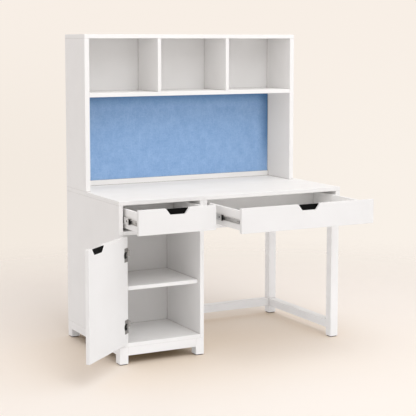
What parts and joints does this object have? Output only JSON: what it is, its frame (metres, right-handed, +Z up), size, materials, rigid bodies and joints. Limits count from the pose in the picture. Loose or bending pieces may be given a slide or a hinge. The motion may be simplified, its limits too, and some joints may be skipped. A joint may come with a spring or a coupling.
{
  "type": "student desk with hutch",
  "caption": "White student desk with a cabinet, drawers and an open leg frame, and a hutch with cubbies over a blue fabric pinboard.",
  "frame": {"origin": "middle of the underside of the front left foot's glide, on the floor", "axes": "+X to the right as seen from the front, +Y to the back, +Z up"},
  "size_m": [1.4712, 0.975, 1.515],
  "materials": {
    "white_board": "white satin",
    "back_board": "white satin",
    "drawer_board": "white matt",
    "fibre_board": "raw fibreboard",
    "beech": "raw",
    "blue_cloth": "woven matt",
    "black_pull": "matt",
    "black_plastic": "matt",
    "dark_glide": "matt",
    "zinc_steel": "bright zinc",
    "nickel_steel": "nickel plated"
  },
  "bodies": {
    "carcass": {"desktop": "white_board", "cabinet_left_side": "white_board", "cabinet_right_side": "white_board", "cabinet_bottom": "white_board", "cabinet_divider": "white_board", "cabinet_back": "back_board", "adjustable_shelf": "white_board", "cupboard_back": "back_board", "shelf_pins": "zinc_steel", "base_front_rail": "white_board", "base_rear_rail": "white_board", "base_side_rails": "white_board", "cabinet_feet": "white_board", "glides": "dark_glide", "front_leg": "white_board", "rear_leg": "white_board", "side_stretcher": "white_board", "rear_stretcher": "white_board", "bay_left_panel": "white_board", "bay_right_panel": "white_board", "bay_front_rail": "white_board", "rear_apron": "white_board", "hutch_left_side": "white_board", "hutch_right_side": "white_board", "hutch_top": "white_board", "hutch_shelf": "white_board", "hutch_left_divider": "white_board", "hutch_right_divider": "white_board", "hutch_back": "back_board", "hutch_bottom_rail": "white_board", "pinboard_core": "fibre_board", "pinboard_fabric": "blue_cloth", "dowels": "beech", "hinge_arms": "nickel_steel", "hinge_pins": "nickel_steel", "hinge_plate_screws": "nickel_steel", "small_slide_outer": "zinc_steel", "wide_slide_outer": "zinc_steel"},
    "door": {"door_panel": "white_board", "door_pull": "black_pull", "hinge_cups": "nickel_steel", "hinge_cup_screws": "nickel_steel"},
    "small_drawer": {"small_drawer_front": "white_board", "small_drawer_pull": "black_pull", "small_drawer_left_side": "drawer_board", "small_drawer_right_side": "drawer_board", "small_drawer_back": "drawer_board", "small_drawer_bottom": "drawer_board", "small_slide_inner": "zinc_steel"},
    "small_slides": {"small_slide_middle": "zinc_steel", "small_slide_retainers": "black_plastic"},
    "wide_drawer": {"wide_drawer_front": "white_board", "wide_drawer_pull": "black_pull", "wide_drawer_left_side": "drawer_board", "wide_drawer_right_side": "drawer_board", "wide_drawer_back": "drawer_board", "wide_drawer_bottom": "drawer_board", "wide_slide_inner": "zinc_steel"},
    "wide_slides": {"wide_slide_middle": "zinc_steel", "wide_slide_retainers": "black_plastic"}
  },
  "joints": [
    {"name": "small_drawer_slide", "type": "slide", "parent": "carcass", "child": "small_drawer", "axis": [0, -1, 0], "range_m": [-0.165, 0.185]},
    {"name": "small_slides_travel", "type": "slide", "parent": "carcass", "child": "small_slides", "axis": [0, -1, 0], "range_m": [-0.0825, 0.0925]},
    {"name": "wide_drawer_slide", "type": "slide", "parent": "carcass", "child": "wide_drawer", "axis": [0, -1, 0], "range_m": [-0.325, 0.025]},
    {"name": "wide_slides_travel", "type": "slide", "parent": "carcass", "child": "wide_slides", "axis": [0, -1, 0], "range_m": [-0.1625, 0.0125]},
    {"name": "door_hinge", "type": "hinge", "parent": "carcass", "child": "door", "pos_m": [0.00025, -0.0262, 0.352], "axis": [0, 0, -1], "range_deg": [-139, 16]}
  ],
  "couplings": [
    {"joint": "small_slides_travel", "follows": "small_drawer_slide", "ratio": 0.5},
    {"joint": "wide_slides_travel", "follows": "wide_drawer_slide", "ratio": 0.5}
  ]
}
